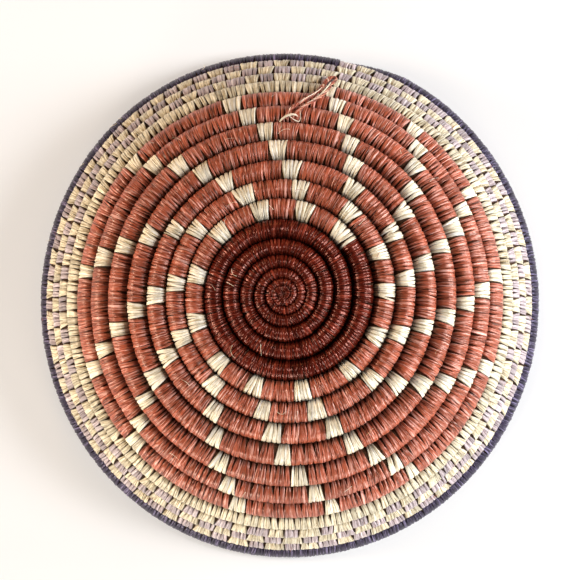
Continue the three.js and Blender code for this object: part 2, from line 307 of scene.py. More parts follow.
def slow_noise(turn, seed, per_turn):
    """Smooth values between about -1 and 1 that wander along the coil."""
    rng = np.random.default_rng(seed)
    total = np.zeros_like(turn)
    for octave in (1, 2.3, 5.1):
        phase = rng.uniform(0, FULL_TURN)
        total = total + np.sin(turn * per_turn * octave * FULL_TURN + phase) / octave
    return total / 1.6


def spiral(shape, turn):
    """Distance along the wall from the axis to the coil's middle line, before levelling."""
    full_turn = (shape.pitch - shape.start_pitch) / shape.pitch_growth
    t = np.minimum(turn, full_turn)
    grown = shape.start_radius + shape.start_pitch * t + shape.pitch_growth * t * t / 2
    return grown + shape.pitch * np.maximum(0, turn - full_turn)


def levelled(shape, turn):
    """The spiral with its rim levelled: each outer round takes its step in one arc."""
    whole = np.floor(turn)
    part = turn - whole
    outer = clamp01((turn - shape.level_from_turn) / (shape.turns - 1 - shape.level_from_turn))
    stepped = ease(part * FULL_TURN / shape.level_arc)
    return spiral(shape, whole + mix(part, stepped, outer))


def groove(shape, turn):
    """Distance along the wall to the groove between this round and the next."""
    here = levelled(shape, turn)
    after = np.where(turn < shape.turns - 1, levelled(shape, turn + 1), here + shape.pitch)
    border_start, border_rounds, steady_rounds = 13, 4, 4
    border = clamp01((turn - border_start) / border_rounds) * (turn < shape.turns - 1)
    wander = shape.wander * slow_noise(turn, seed=5, per_turn=2.7)
    wander = wander * clamp01(turn / steady_rounds)
    return (here + after) / 2 + wander - shape.rim_growth * border


def meridian(shape, distance):
    """Radius, drop and slope of the wall at a distance along it from the axis."""
    lean0, lean1 = shape.crown_lean, shape.wall_lean
    bend_length = shape.shoulder_radius * (lean1 - lean0)
    crown = np.minimum(distance, shape.crown_radius)
    bend = np.clip(distance - shape.crown_radius, 0, bend_length)
    straight = np.maximum(0, distance - shape.crown_radius - bend_length)
    lean = lean0 + bend / shape.shoulder_radius
    bend_out = shape.shoulder_radius * (np.sin(lean) - math.sin(lean0))
    bend_down = shape.shoulder_radius * (math.cos(lean0) - np.cos(lean))
    radius = crown * math.cos(lean0) + bend_out + straight * math.cos(lean1)
    drop = crown * math.sin(lean0) + bend_down + straight * math.sin(lean1)
    return radius, drop, lean


def wall_points(shape, distance, azimuth, along, out):
    """Points of the frame, given along the wall, round the axis and out of the wall."""
    radius, drop, lean = meridian(shape, distance)
    place, *drifts = np.array(DRIFT).T * MM
    drift_x, drift_y, widening = (np.interp(distance, place, values) for values in drifts)
    radius = radius + widening + along * np.cos(lean) + out * np.sin(lean)
    apex = knot_high.z - shape.start_thickness / 2 - shape.knot_rise
    x = AXIS.x + drift_x + radius * np.cos(azimuth) * (1 - shape.ovality)
    y = AXIS.y + drift_y + radius * np.sin(azimuth) * (1 + shape.ovality)
    z = apex - drop - along * np.sin(lean) + out * np.cos(lean)
    return np.stack(np.broadcast_arrays(x, y, z), axis=-1)


def coil_section(shape, turn):
    """Middle, half width, half thickness and azimuth of the coil at a turn."""
    inner = groove(shape, turn - 1)
    outer = groove(shape, turn)
    end = (shape.turns - turn) * FULL_TURN / shape.taper_arc
    taper = mix(shape.taper_end, 1, clamp01(end))
    half_width = (outer - inner) / 2 * taper
    full = np.maximum(shape.start_thickness, shape.thickness * (outer - inner) / shape.pitch)
    half_thickness = np.minimum(full, shape.thickness) / 2 * taper
    half_thickness = half_thickness * (1 + 0.02 * slow_noise(turn, seed=6, per_turn=4.1))
    return inner + half_width, half_width, half_thickness, shape.seam_angle + turn * FULL_TURN


# Colours of the stitches, in the order in which the coil takes them
MAROON, RED, CREAM_ARM, CREAM_BAND, CREAM_CHECK, LILAC_CHECK, PURPLE = range(7)
# For each: width of a strip where it is gathered and where it is spread, as shares of the
# spacing, its raffia and its slot
SEWN = {
    MAROON: (0.8, 1.12, "maroon dyed raffia", "maroon_raffia"),
    RED: (0.62, 1.16, "terracotta dyed raffia", "red_raffia"),
    CREAM_ARM: (0.6, 0.95, "undyed raffia", "cream_raffia"),
    CREAM_BAND: (0.45, 1.0, "undyed raffia of the border", "cream_raffia"),
    CREAM_CHECK: (0.55, 1.06, "undyed raffia of the border", "cream_raffia"),
    LILAC_CHECK: (0.55, 1.04, "lilac dyed raffia", "lilac_raffia"),
    PURPLE: (0.7, 1.05, "purple dyed raffia", "purple_raffia"),
}


# The coil's sections from the centre to the rim: plain colour of each, and its name in the
# settings
SECTIONS = (
    (MAROON, "maroon"),
    (RED, "red"),
    (CREAM_BAND, "band"),
    (LILAC_CHECK, "checker"),
    (PURPLE, "rim"),
)


def section(stitches, turn):
    """Place in SECTIONS of a turn of the coil."""
    starts = [getattr(stitches, f"{name}_start") for _, name in SECTIONS[1:]]
    return np.searchsorted(starts, turn, side="right")


def plain_colour(stitches, turn):
    """Colour of the coil at a turn, where no block lies on it."""
    return np.array([colour for colour, _ in SECTIONS])[section(stitches, turn)]


def looseness(shape, stitches, turn):
    """0 on the tight side of the red rounds, 1 where their stitches stand apart."""
    azimuth = shape.seam_angle + turn * FULL_TURN
    side = np.maximum(np.cos(azimuth - stitches.loose_side), np.cos(azimuth - stitches.top_side))
    outer = past_middle(shape, turn, rounds=4)
    uneven = slow_noise(turn, seed=8, per_turn=1.9)
    red = plain_colour(stitches, turn) == RED
    return np.where(red, clamp01(0.7 * side + 0.35 * outer + 0.3 * uneven), 0.5)


def stitch_spacing(shape, stitches, turn):
    """Width of a stitch at a turn. The red ones are finer near the centre and wider where
    they stand apart."""
    spacings = np.array([getattr(stitches, f"{name}_spacing") for _, name in SECTIONS])
    loose = looseness(shape, stitches, turn)
    across = (turn - stitches.red_start) / (stitches.band_start - stitches.red_start)
    finer = mix(stitches.inner_finer, 1, clamp01(across))
    wider = 1 + stitches.looseness * (2 * loose - 1)
    red = plain_colour(stitches, turn) == RED
    return spacings[section(stitches, turn)] * np.where(red, finer * wider, 1)


def plan_stitches(shape, stitches):
    """Turn, width, looseness and colour of every stitch from the centre to the rim, how far
    it is from the middle of its block, and the length of its round."""
    rng = np.random.default_rng(11)
    stations = 40000
    grid = np.linspace(shape.start_turn, shape.turns, stations)
    radius = meridian(shape, levelled(shape, grid))[0]
    density = FULL_TURN * radius / stitch_spacing(shape, stitches, grid)
    count = np.concatenate([[0], np.cumsum((density[1:] + density[:-1]) / 2 * np.diff(grid))])
    widths = rng.uniform(0.65, 1.35, int(count[-1]))
    edges = np.interp(np.cumsum(widths) * count[-1] / widths.sum(), count, grid)
    edges = np.concatenate([[shape.start_turn], edges])
    turn = (edges[1:] + edges[:-1]) / 2
    plan = {"turn": turn, "span": np.diff(edges), "loose": looseness(shape, stitches, turn)}
    plan["colour"], plan["gather"] = stitch_colours(shape, stitches, turn)
    plan["length"] = FULL_TURN * meridian(shape, levelled(shape, turn))[0]
    return plan


def stitch_colours(shape, stitches, turn):
    """Colour of each stitch, and how far it lies from the middle of its block in turns."""
    colour = plain_colour(stitches, turn)
    gather = np.zeros(len(turn))
    for ground, cream, (inside, off) in (
        (RED, CREAM_ARM, arm_blocks(shape, stitches, turn)),
        (LILAC_CHECK, CREAM_CHECK, checker_blocks(stitches, turn)),
    ):
        inside = inside & (colour == ground)
        colour[inside] = cream
        gather[inside] = off[inside]
    # The first block of all is a double one and starts where the maroon ends
    double_block = 0.02
    after_maroon = turn - stitches.red_start
    colour[(after_maroon >= 0) & (after_maroon < double_block)] = CREAM_ARM
    return colour, gather


def arm_blocks(shape, stitches, turn):
    """Which stitches lie in the blocks of the swirling arms, and how far each lies from the
    middle of its block in turns."""
    rounds_to_end, arch_middle = 3.25, 0.25
    from_middle = turn - ARM_TURN
    arch = stitches.arm_arch * (0.5 - ((from_middle + arch_middle) / rounds_to_end) ** 2)
    azimuth = shape.seam_angle + turn * FULL_TURN - arch
    radius = meridian(shape, levelled(shape, turn))[0]
    inside, off = np.zeros(len(turn), bool), np.zeros(len(turn))
    for start, drift in ARMS:
        away = azimuth - np.radians(start + drift * from_middle)
        away = (away + math.pi) % FULL_TURN - math.pi
        here = np.abs(away) * radius < stitches.arm_width / 2
        inside |= here
        off[here] = away[here] / FULL_TURN
    return inside, off


def checker_blocks(stitches, turn):
    """The same for the cream blocks of the checker rounds."""
    # Shares of a pair of blocks, and shares of a round
    cream_share, unevenness, first_pair = 0.28, 0.02, 0.258
    swell_from, swell_length = 0.08, 0.62
    swell = np.sin(math.pi * clamp01((turn % 1.0 - swell_from) / swell_length)) ** 2
    swell = stitches.checker_swell * swell
    pairs = stitches.checker_periods * (turn - stitches.checker_start) + first_pair + swell
    off = (pairs + 0.5) % 1.0 - 0.5
    inside = np.abs(off) < cream_share + unevenness * slow_noise(turn, seed=14, per_turn=29)
    return inside, off / stitches.checker_periods


def new_mesh_object(name, points, quads, caps, layers):
    """Smooth mesh object from numpy arrays. layers are point attributes by name."""
    mesh = bpy.data.meshes.new(name)
    loops = np.concatenate([quads.ravel(), caps.ravel()]).astype(np.int32)
    fours = len(quads)
    cap_starts = fours * 4 + np.arange(len(caps)) * caps.shape[1]
    starts = np.concatenate([np.arange(fours) * 4, cap_starts])
    mesh.vertices.add(len(points))
    mesh.vertices.foreach_set("co", points.astype(np.float32).ravel())
    mesh.loops.add(len(loops))
    mesh.loops.foreach_set("vertex_index", loops)
    mesh.polygons.add(len(starts))
    mesh.polygons.foreach_set("loop_start", starts.astype(np.int32))
    mesh.update(calc_edges=True)
    mesh.polygons.foreach_set("use_smooth", np.ones(len(starts), bool))
    for layer, values in layers.items():
        kind = "FLOAT_VECTOR" if values.ndim == 2 else "FLOAT"
        field = "vector" if values.ndim == 2 else "value"
        attribute = mesh.attributes.new(layer, kind, "POINT")
        attribute.data.foreach_set(field, values.astype(np.float32).ravel())
    mesh.validate()
    made = bpy.data.objects.new(name, mesh)
    bpy.context.scene.collection.objects.link(made)
    return made


def tube_faces(rings, sides, joined):
    """Quads between consecutive rings where joined says so, and caps at the open ends."""
    ring = np.arange(rings - 1)[joined[: rings - 1]]
    side = np.arange(sides)
    after = (side + 1) % sides
    a = ring[:, None] * sides + side
    b = ring[:, None] * sides + after
    quads = np.stack([a, b, b + sides, a + sides], axis=-1).reshape(-1, 4)
    ends = np.flatnonzero(~joined)
    first = np.concatenate([[0], ends[:-1] + 1])
    caps = np.concatenate([first[:, None] * sides + side[::-1], ends[:, None] * sides + side])
    return quads, caps


# Stations across a strip, from edge to edge, and the share of its rise at each
ACROSS = np.array([-1, -0.8, -0.52, -0.26, 0, 0.26, 0.52, 0.8, 1])
RISE = np.array([0, 0.58, 0.88, 0.97, 1, 0.97, 0.88, 0.58, 0])
# Stations round the coil: 0 is the inner groove in front, 0.5 the outer edge, 1 behind
FRONT = (0, 0.02, 0.045, 0.075, 0.11, 0.15, 0.2, 0.25, 0.3, 0.35, 0.4, 0.45)
ROUND = np.array(FRONT + (0.5, 0.57, 0.66, 0.76, 0.86, 0.94, 1))

# The same places as shares: where a strip is tucked under the round before, how far the
# painted shade of the grooves reaches in from the inner groove and from the outer edge, how
# far the painted shade or highlight of its inner half reaches, and where its middle bends
# over the outer edge
TUCKED, SHADED, SHADED_OUTSIDE, INNER_PAINT_REACH = 0.06, 0.15, 0.07, 0.3
EDGE_BEND, EDGE_REACH = 0.47, 0.09
# At each station: share of the way to the nearer end of the strip, how far the strip is
# tucked in, and its angle round the coil's section
NEAR_END = np.minimum(ROUND, 1 - ROUND)
TUCK_IN = 1 - ease(NEAR_END / TUCKED)
THETA = math.pi * (1 - 2 * ROUND)


def rolled(shape, turn, along, out):
    """The coil's section, rolled about its middle so that the outer side stands up. The
    roll dies out towards the steep wall."""
    roll_end, fading_rounds = 5, 6
    roll = shape.roll * (1 - ease((turn - roll_end) / fading_rounds))
    return along * np.cos(roll) - out * np.sin(roll), out * np.cos(roll) + along * np.sin(roll)


def powered(value, exponent):
    """The value's size to a power, with its sign kept."""
    return np.sign(value) * np.abs(value) ** exponent


def outline(shape, turn, theta):
    """Outline of the coil with half sizes of 1. It is rounder on the back of the middle
    rounds, and squarer on the outer rounds and on the inside of the bowl."""
    outer = past_middle(shape, turn, rounds=6)
    fullness = mix(shape.round_fullness, shape.wall_fullness, outer)
    fullness = mix(fullness, shape.inside_fullness, ease(-2 * np.sin(theta)))
    return powered(np.cos(theta), fullness), powered(np.sin(theta), fullness)


def strip_course(stitches, plan, widths, rng):
    """Turn of each strip's middle at every station, half its width there in turns, and how
    far it is spread: 0 where it is gathered, 1 where it lies flat."""
    turn, span, loose = plan["turn"], plan["span"], plan["loose"]
    gathered_width, spread_width = widths
    # A strip is gathered at its ends and spreads sooner where the stitches are tight
    tight_reach, loose_reach = 0.16, 0.3
    reach = mix(tight_reach, loose_reach, loose) * rng.uniform(0.6, 1.3, len(turn))
    spread = clamp01(NEAR_END / reach[:, None]) ** 0.9

    # Its middle leans, its inner end strays, the strips of a block draw together, and on
    # the back it steps to the next stitch
    lean_drift, lean_scatter, stray_share = math.radians(4), math.radians(2.5), 0.16
    drawn_together, drawn_reach = 0.36, 0.42
    lean = stitches.lean + lean_drift * slow_noise(turn, seed=3, per_turn=1.7)
    lean = lean + rng.normal(0, lean_scatter, len(turn))
    aslant = np.outer(np.tan(lean) * plan["half"] / plan["length"], np.cos(THETA))
    stray = (rng.normal(0, stray_share, len(turn)) * span)[:, None] * (1 - spread)
    fan = np.outer(-drawn_together * plan["gather"], clamp01(1 - NEAR_END / drawn_reach))
    back = np.outer(span, ease((ROUND - 0.5) * 2))
    centre = turn[:, None] + aslant + stray + fan + back

    narrow = mix(1.2, 1.0, loose) * gathered_width * rng.uniform(0.75, 1.25, len(turn))
    wide = mix(narrow[:, None], spread_width, spread)
    return centre, wide * span[:, None] / 2, spread


def strip_height(shape, stitches, turn, spread, rng):
    """Height of each strip over the coil: round where gathered, flat where spread, lapped
    like a shingle, with folds along it."""
    count, rings, sides = len(turn), len(ROUND), len(ACROSS)
    fold, crinkle, unevenness, dip = 0.09 * MM, 0.02 * MM, 0.07 * MM, 0.4 * MM
    outer_share = 0.2
    rise = mix(stitches.finger_rise, stitches.flat_rise, spread)
    edge_rise = stitches.edge_rise * mix(1, outer_share, past_middle(shape, turn, rounds=2.5))
    rise = rise + np.outer(edge_rise, bell(ROUND, EDGE_BEND, EDGE_REACH))
    rise = rise[:, :, None] * RISE
    folds = rng.normal(0, fold, (count, 1, sides))
    folds = folds + rng.normal(0, crinkle, (count, rings, sides))
    lap = stitches.lap * ACROSS * rng.choice([1, 1, 1, -1], count)[:, None, None]
    height = rise + folds + lap + rng.normal(0, unevenness, (count, 1, 1))
    return height - dip * TUCK_IN[:, None]


def strip_points(shape, stitches, turn, place, height):
    """Points of the strips, at their height over the coil's outline."""
    middle, half_width, half_thickness, azimuth = coil_section(shape, place)
    along_unit, out_unit = outline(shape, turn[:, None, None], THETA[:, None])
    size = np.hypot(along_unit, out_unit)
    # On the back the middle rounds are slack. Elsewhere the rounds press into each other
    fading = 0.3
    on_back = ease((np.sin(THETA) + fading) / fading)
    slack = np.outer(1 - past_middle(shape, turn, rounds=5), on_back)[:, :, None]
    press = mix(shape.press, -shape.slack * half_width, slack)
    along = (half_width + press) * along_unit + height * along_unit / size
    out = half_thickness * out_unit + height * out_unit / size
    along = along - stitches.tuck * TUCK_IN[:, None]
    points = wall_points(shape, middle, azimuth, *rolled(shape, place, along, out))
    points[..., 2] = np.maximum(points[..., 2], 0)
    return points


def strip_layers(stitches, plan, half_strip, seed, rng):
    """What the raffia's material reads: place across and along each strip, and its tone: the
    dye's own random tone, times painted shade in the grooves and along the edges between
    strips, and painted shade or a slight painted highlight on the inner half of each strip."""
    turn, circumference = plan["turn"], plan["length"][:, None, None]
    lay = np.empty((*half_strip.shape, len(ACROSS), 3))
    lay[..., 0] = half_strip[:, :, None] * ACROSS * circumference / MM
    lay[..., 1] = (ROUND * FULL_TURN)[:, None] * plan["half"][:, None, None] / MM
    lay[..., 2] = rng.uniform(0, 1, len(turn))[:, None, None]
    dye_scatter, dye_drift = 0.13, 0.07
    tone = 1 + dye_scatter * rng.normal(0, 1, len(turn))
    tone = tone + dye_drift * slow_noise(turn, seed=seed + 1, per_turn=3.3)
    # Painted shade: dark where the strip enters a groove and on its inner half, where the rounds
    # shade each other. On the red strips the inner half gets a slight painted highlight instead
    lit = ease(NEAR_END / SHADED) * ease(np.abs(ROUND - 0.5) / SHADED_OUTSIDE)
    shade_paint = mix(stitches.groove_shade, 1, lit)
    maroon = turn[:, None] < stitches.red_start
    painted = np.where(maroon, stitches.maroon_shade, stitches.inner_shade)
    shade_paint = shade_paint * mix(painted, 1, ease(NEAR_END / INNER_PAINT_REACH))
    # Painted shade along the edges of each strip, between neighbouring strips
    edge = mix(1, stitches.edge_shade, (1 - RISE) ** 2)
    tone = np.clip(tone, 0.7, 1.3)[:, None, None] * shade_paint[:, :, None] * edge
    return {"lay": lay.reshape(-1, 3), "tone": tone.ravel()}


def wind(name, shape, stitches, plan, chosen, widths, seed):
    """The chosen stitches as closed strips wound round the coil, one mesh."""
    rng = np.random.default_rng(seed)
    index = np.flatnonzero(chosen)
    plan = {key: values[index] for key, values in plan.items()}
    plan["half"] = coil_section(shape, plan["turn"])[1]
    centre, half_strip, spread = strip_course(stitches, plan, widths, rng)
    place = centre[:, :, None] + half_strip[:, :, None] * ACROSS
    height = strip_height(shape, stitches, plan["turn"], spread, rng)
    points = strip_points(shape, stitches, plan["turn"], place, height)
    layers = strip_layers(stitches, plan, half_strip, seed, rng)
    # A strip runs on into the next one where the next stitch has the same colour
    count, rings, sides = place.shape
    joined = np.ones(count * rings, bool)
    joined[np.arange(1, count + 1) * rings - 1] = np.append(np.diff(index) == 1, False)
    quads, caps = tube_faces(count * rings, sides, joined)
    return new_mesh_object(name, points.reshape(-1, 3), quads, caps, layers)


def strands(name, paths, radii, sides, flat, seed):
    """Closed strands along paths of points, all with as many stations. flat is thickness
    over width, and the width lies across the path and level."""
    rng = np.random.default_rng(seed)
    count, stations = paths.shape[:2]
    ahead = np.gradient(paths, axis=1)
    ahead /= np.linalg.norm(ahead, axis=-1, keepdims=True)
    across = np.cross(ahead, (0.0, 0.0, 1.0))
    across /= np.maximum(np.linalg.norm(across, axis=-1, keepdims=True), 1e-6)
    over = np.cross(across, ahead)
    around = np.arange(sides) / sides * FULL_TURN
    ring = across[:, :, None] * np.cos(around)[:, None]
    ring = ring + flat * over[:, :, None] * np.sin(around)[:, None]
    points = paths[:, :, None] + ring * radii[:, :, None, None]
    walked = np.cumsum(np.linalg.norm(np.diff(paths, axis=1, prepend=paths[:, :1]), axis=-1), 1)
    lay = np.empty(points.shape)
    lay[..., 0] = around * radii[:, :, None] / MM
    lay[..., 1] = walked[:, :, None] / MM
    lay[..., 2] = rng.uniform(0, 1, count)[:, None, None]
    joined = np.ones(count * stations, bool)
    joined[np.arange(1, count + 1) * stations - 1] = False
    quads, caps = tube_faces(count * stations, sides, joined)
    tone = np.repeat(rng.uniform(0.84, 1.16, count), stations * sides)
    layers = {"lay": lay.reshape(-1, 3), "tone": tone}
    return new_mesh_object(name, points.reshape(-1, 3), quads[:, ::-1], caps[:, ::-1], layers)


def add_node(tree, kind, inputs=None, **settings):
    """A node with its settings. An input is a value, or the output socket that feeds it."""
    node = tree.nodes.new(kind)
    for setting, value in settings.items():
        setattr(node, setting, value)
    for socket, value in (inputs or {}).items():
        if isinstance(value, bpy.types.NodeSocket):
            tree.links.new(value, node.inputs[socket])
        else:
            node.inputs[socket].default_value = value
    return node


def new_material(name):
    material = bpy.data.materials.new(name)
    material.use_nodes = True
    tree = material.node_tree
    tree.nodes.clear()
    return material, tree, add_node(tree, "ShaderNodeOutputMaterial")


def shade(colour, factor=1.0):
    """Node colour of a dye or a hex colour, darker or lighter by a factor."""
    channels = linear(colour) if isinstance(colour, str) else colour
    return tuple(min(1.0, c * factor) for c in channels) + (1.0,)


def fibre_noise(tree, lay, width, run, seed, detail):
    """Streaks along the strip, of a width and a run in millimetres."""
    stretched = add_node(
        tree,
        "ShaderNodeVectorMath",
        {0: lay.outputs["Vector"], 1: (1 / width, 1 / run, seed)},
        operation="MULTIPLY",
    )
    inputs = {"Vector": stretched.outputs[0], "Scale": 1.0, "Detail": detail, "Roughness": 0.6}
    return add_node(tree, "ShaderNodeTexNoise", inputs).outputs["Fac"]


def ramp(tree, factor, stops):
    """Colour ramp through (position, colour) stops."""
    node = add_node(tree, "ShaderNodeValToRGB", {"Fac": factor})
    elements = node.color_ramp.elements
    for element, (position, colour) in zip(elements, (stops[0], stops[-1])):
        element.position, element.color = position, colour
    for position, colour in stops[1:-1]:
        elements.new(position).color = colour
    return node.outputs["Color"]


def surface(material, tree, output, height, depth, inputs):
    """Ends a material: its shader over a relief of that height and depth."""
    relief = {"Height": height, "Distance": depth * MM, "Strength": 1.0}
    bump = add_node(tree, "ShaderNodeBump", relief)
    inputs = {**inputs, "Normal": bump.outputs["Normal"]}
    shader = add_node(tree, "ShaderNodeBsdfPrincipled", inputs)
    tree.links.new(shader.outputs["BSDF"], output.inputs["Surface"])
    return material


# The maroon raffia is wound tightest and shines most
TIGHT = {"roughness": 0.27, "ior": 1.6, "ridge": 0.07}

# Each raffia: its dye, the colours of its dark streaks, its light streaks and its glint, and
# where it differs from plain raffia
RAFFIAS = {
    "maroon dyed raffia": ("maroon", "120100", "8c3a28", "ffb4a0", TIGHT),
    "terracotta dyed raffia": ("red", "420f02", "e8b0a0", "ffd4c4", {"straw": 0.12, "ior": 1.62}),
    "undyed raffia": ("cream", "bca67c", "fffcf4", "fff8ee", {"straw": 0.2}),
    "undyed raffia of the border": ("border", "8f7850", "f8f0da", "fff8ee", {"straw": 0.4}),
    "lilac dyed raffia": ("lilac", "7c6868", "ded2d2", "fff8ff", {"straw": 0.25}),
    "purple dyed raffia": ("purple", "130f1a", "7d7290", "e8dcff", {"ior": 1.45}),
    "red raffia twisted to a cord": ("loop", "4a170d", "dc9a7c", "ffd8c4", {"straw": 0.12}),
    "pale raffia of the loop": ("cream", "a3603f", "f4efd9", "fff8ee", {"straw": 0.12}),
    "faded red raffia of the loop": ("faded", "8a4632", "f2d8c0", "fff0e4", {}),
    "stray ends of undyed raffia": ("cream", "b3a070", "f4efd9", "fff8ee", {}),
    "stray ends of red raffia": ("red", "8a4632", "e0a18c", "ffdccc", {}),
}


def raffia(name):
    """Raffia is split palm leaf, dyed in the strip and pulled tight over the grass. It is
    silky, with light and dark streaks along each strip and fine ridges that glint. Where
    it is thin, the straw colour of the grass shows through by the share straw. Its glints
    take a colour from the dye."""
    if name in bpy.data.materials:
        return bpy.data.materials[name]
    dye_name, dark, light, glint, special = RAFFIAS[name]
    traits = {"straw": 0.0, "ior": 1.55, "roughness": 0.36, "ridge": 0.08, **special}
    colour = shade(getattr(bpy.context.scene.basket_dyes, dye_name))
    material, tree, output = new_material(name)
    lay = add_node(tree, "ShaderNodeAttribute", attribute_name="lay")
    tone = add_node(tree, "ShaderNodeAttribute", attribute_name="tone")
    # The real fibres are 0.1 mm wide, drawn coarser here so that they show
    broad = fibre_noise(tree, lay, width=0.55, run=14, seed=61, detail=3.0)
    fine = fibre_noise(tree, lay, width=0.22, run=7, seed=37, detail=2.0)
    stops = ((0.37, shade(dark)), (0.47, colour), (0.54, colour), (0.65, shade(light)))
    streaked = ramp(tree, broad, stops)
    thin = fibre_noise(tree, lay, width=1.6, run=4, seed=17, detail=2.0)
    limits = {"Value": thin, "From Min": 0.45, "From Max": 0.7, "To Max": traits["straw"]}
    thin = add_node(tree, "ShaderNodeMapRange", limits).outputs[0]
    layers = {"Fac": thin, "Color1": streaked, "Color2": shade("7d6a44")}
    stained = add_node(tree, "ShaderNodeMixRGB", layers).outputs["Color"]
    toning = {"Value": tone.outputs["Fac"], "Color": stained}
    toned = add_node(tree, "ShaderNodeHueSaturation", toning)
    heights = {0: fine, 1: 0.35, 2: broad}
    height = add_node(tree, "ShaderNodeMath", heights, operation="MULTIPLY_ADD").outputs[0]
    inputs = {
        "Base Color": toned.outputs["Color"],
        "Roughness": traits["roughness"],
        "IOR": traits["ior"],
        "Specular Tint": shade(glint),
    }
    return surface(material, tree, output, height, traits["ridge"], inputs)


def grass(name):
    """Dry grass stalks, bundled: matt, brown-green, each stalk of its own tone."""
    colour = bpy.context.scene.basket_dyes.grass
    material, tree, output = new_material(name)
    lay = add_node(tree, "ShaderNodeAttribute", attribute_name="lay")
    stalks = fibre_noise(tree, lay, width=0.8, run=14, seed=1, detail=4.0)
    stops = ((0.3, shade(colour, 0.4)), (0.5, shade(colour, 0.9)), (0.75, shade(colour, 1.8)))
    inputs = {"Base Color": ramp(tree, stalks, stops), "Roughness": 0.8, "IOR": 1.45}
    return surface(material, tree, output, stalks, 0.25, inputs)


def settings():
    scene = bpy.context.scene
    return scene.basket_shape, scene.basket_stitches


def dress(piece, material, nodes=(), body="basket"):
    """Gives a piece its material, hangs it on the body that it rides on, and hides the parts of the
    model that it stands for.
    """
    piece.data.materials.append(material)
    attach(piece, body)
    if nodes:
        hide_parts(*nodes)


def sew(name, colour, start, end, seed, *nodes):
    """One piece of stitches: those of a colour between two turns of the coil."""
    shape, stitches = settings()
    plan = plan_stitches(shape, stitches)
    inside = (plan["turn"] >= start) & (plan["turn"] < end)
    chosen = inside & (plan["colour"] == colour)
    *widths, material, slot = SEWN[colour]
    piece = wind(name, shape, stitches, plan, chosen, widths, seed)
    dress(piece, raffia(material), nodes)


class BASKET_OT_stage(bpy.types.Operator):
    """Make the camera, the lamps, the even light and the floor"""

    bl_idname = "basket.stage"
    bl_label = "Stage"

    def execute(self, context):
        stage = context.scene.basket_stage
        base = Vector((AXIS.x, AXIS.y, 0))
        eye = base + Vector(stage.eye)
        ahead = (base + Vector(stage.aim) - eye).normalized()
        right = ahead.cross(Vector((0, 1, 0))).normalized()
        camera = bpy.data.objects.new("camera", bpy.data.cameras.new("camera"))
        camera.data.lens = stage.lens
        camera.matrix_world = Matrix((right, right.cross(ahead), -ahead)).transposed().to_4x4()
        camera.location = eye
        context.scene.collection.objects.link(camera)
        context.scene.camera = camera

        for place, (azimuth, height, share, colour) in enumerate(LAMPS, 1):
            name = f"lamp_{place}"
            lamp = bpy.data.objects.new(name, bpy.data.lights.new(name, "AREA"))
            lamp.data.size = stage.lamp_size
            lamp.data.energy = stage.lamp_power * share
            lamp.data.color = linear(colour)
            turned, raised = math.radians(azimuth), math.radians(height)
            level = math.cos(raised)
            toward = Vector((level * math.cos(turned), level * math.sin(turned), math.sin(raised)))
            lamp.location = base + stage.lamp_distance * toward
            lamp.rotation_euler = (-toward).to_track_quat("-Z", "Y").to_euler()
            context.scene.collection.objects.link(lamp)

        world = bpy.data.worlds.new("even light")
        world.use_nodes = True
        background = world.node_tree.nodes["Background"]
        background.inputs["Color"].default_value = (1, 1, 1, 1)
        background.inputs["Strength"].default_value = stage.sky
        context.scene.world = world
        self.floor(context, stage)
        context.scene.view_settings.view_transform = "Standard"
        return {"FINISHED"}

    def floor(self, context, stage):
        """A matt table top, which the eye sees part way to plain white."""
        half = stage.floor_side / 2
        corners = [(-half, -half, 0), (half, -half, 0), (half, half, 0), (-half, half, 0)]
        mesh = bpy.data.meshes.new("floor")
        mesh.from_pydata(corners, [], [(0, 1, 2, 3)])
        floor = bpy.data.objects.new("floor", mesh)
        context.scene.collection.objects.link(floor)
        material, tree, output = new_material("matt white table top")
        matt = {"Base Color": tuple(stage.floor) + (1.0,), "Roughness": 0.7}
        shader = add_node(tree, "ShaderNodeBsdfPrincipled", matt)
        white = add_node(tree, "ShaderNodeEmission", {"Strength": 1.0})
        rays = add_node(tree, "ShaderNodeLightPath")
        seen = rays.outputs["Is Camera Ray"]
        for kind in ("Is Glossy Ray", "Is Transmission Ray"):
            inputs = {0: seen, 1: rays.outputs[kind]}
            seen = add_node(tree, "ShaderNodeMath", inputs, operation="MAXIMUM").outputs[0]
        inputs = {0: seen, 1: stage.floor_glow}
        share = add_node(tree, "ShaderNodeMath", inputs, operation="MULTIPLY")
        inputs = {0: share.outputs[0], 1: shader.outputs[0], 2: white.outputs[0]}
        mixed = add_node(tree, "ShaderNodeMixShader", inputs)
        tree.links.new(mixed.outputs[0], output.inputs["Surface"])
        floor.data.materials.append(material)


